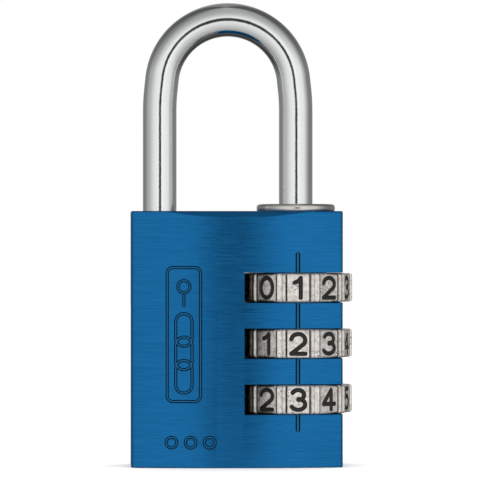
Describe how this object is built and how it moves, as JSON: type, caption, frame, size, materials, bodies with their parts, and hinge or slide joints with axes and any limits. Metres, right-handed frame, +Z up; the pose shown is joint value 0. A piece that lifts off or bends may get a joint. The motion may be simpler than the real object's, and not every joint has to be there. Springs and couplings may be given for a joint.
{
  "type": "combination padlock",
  "caption": "Slim padlock with a bowed blue metal body, a bright steel shackle and a stack of number dials at one side.",
  "frame": {"origin": "centre of the flat base face of the lock body", "axes": "+Z up along the shackle legs, -Y out of the front with the index line, +X towards the dials"},
  "size_m": [0.0316, 0.0156, 0.066],
  "materials": {
    "anodised_body": "blue anodised aluminium, brushed crosswise",
    "bright_shackle": "bright chrome-plated steel, polished",
    "plated_dial": "nickel-plated die-cast zinc with black-filled numerals",
    "plated_collar": "nickel-plated turned steel",
    "sleeve_brass": "turned brass",
    "spring_steel": "bright drawn spring steel"
  },
  "bodies": {
    "housing": {"lock_body": "anodised_body", "guide_collar": "plated_collar", "collar_pin_1": "spring_steel", "collar_pin_2": "spring_steel", "reset_spring": "spring_steel", "detent_ball_1": "bright_shackle", "detent_ball_2": "bright_shackle", "detent_ball_3": "bright_shackle", "detent_spring_1": "spring_steel", "detent_spring_2": "spring_steel", "detent_spring_3": "spring_steel"},
    "shackle": {"shackle": "bright_shackle"},
    "dial_1": {"dial_ring_1": "plated_dial"},
    "dial_2": {"dial_ring_2": "plated_dial"},
    "dial_3": {"dial_ring_3": "plated_dial"},
    "sleeve_1": {"code_sleeve_1": "sleeve_brass"},
    "sleeve_2": {"code_sleeve_2": "sleeve_brass"},
    "sleeve_3": {"code_sleeve_3": "sleeve_brass"},
    "washer": {"thrust_washer": "spring_steel"}
  },
  "joints": [
    {"name": "shackle_lift", "type": "slide", "parent": "housing", "child": "shackle", "axis": [0, 0, 1], "range_m": [0, 0.0056]},
    {"name": "dial_1_turn", "type": "hinge", "parent": "housing", "child": "dial_1", "pos_m": [0.00856, 0, 0.02545], "axis": [0, 0, 1], "continuous": true},
    {"name": "dial_2_turn", "type": "hinge", "parent": "housing", "child": "dial_2", "pos_m": [0.00856, 0, 0.01755], "axis": [0, 0, 1], "continuous": true},
    {"name": "dial_3_turn", "type": "hinge", "parent": "housing", "child": "dial_3", "pos_m": [0.00856, 0, 0.00965], "axis": [0, 0, 1], "continuous": true},
    {"name": "sleeve_3_shift", "type": "slide", "parent": "dial_3", "child": "sleeve_3", "axis": [0, 0, -1], "range_m": [0, 0.0015], "stiffness_N_per_m": 300, "springref_m": -0.002},
    {"name": "sleeve_2_shift", "type": "slide", "parent": "dial_2", "child": "sleeve_2", "axis": [0, 0, -1], "range_m": [0, 0.0015]},
    {"name": "sleeve_1_shift", "type": "slide", "parent": "dial_1", "child": "sleeve_1", "axis": [0, 0, -1], "range_m": [0, 0.0015]},
    {"name": "washer_shift", "type": "slide", "parent": "housing", "child": "washer", "axis": [0, 0, -1], "range_m": [0, 0.0015], "deforming": ["reset_spring"]}
  ],
  "couplings": [
    {"joint": "sleeve_2_shift", "follows": "sleeve_3_shift", "ratio": 1},
    {"joint": "sleeve_1_shift", "follows": "sleeve_3_shift", "ratio": 1},
    {"joint": "washer_shift", "follows": "sleeve_3_shift", "ratio": 1}
  ]
}
